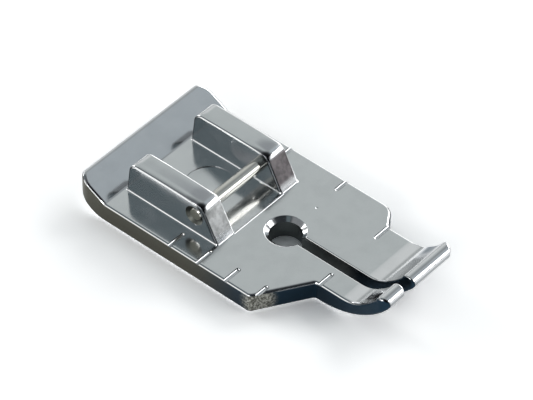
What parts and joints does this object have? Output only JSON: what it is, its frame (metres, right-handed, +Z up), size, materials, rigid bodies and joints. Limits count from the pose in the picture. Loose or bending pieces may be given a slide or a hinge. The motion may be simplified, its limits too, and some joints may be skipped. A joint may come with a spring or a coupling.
{
  "type": "sewing machine presser foot",
  "caption": "Clip-on presser foot with a guide toe for quarter-inch seams: plated sole with flap heel, needle hole and slot, two ears and a cross pin.",
  "frame": {"origin": "axis of the needle hole in the plane of the sole", "axes": "+Z up along the needle; -Y towards the curled toes and the person sewing; +X towards the wide toe"},
  "size_m": [0.0165, 0.0309, 0.0055],
  "materials": {
    "plating": "bright plated, mirror-like",
    "pin_steel": "bright drawn steel"
  },
  "bodies": {
    "root": {"foot_casting": "plating", "cross_pin": "pin_steel"}
  },
  "joints": []
}
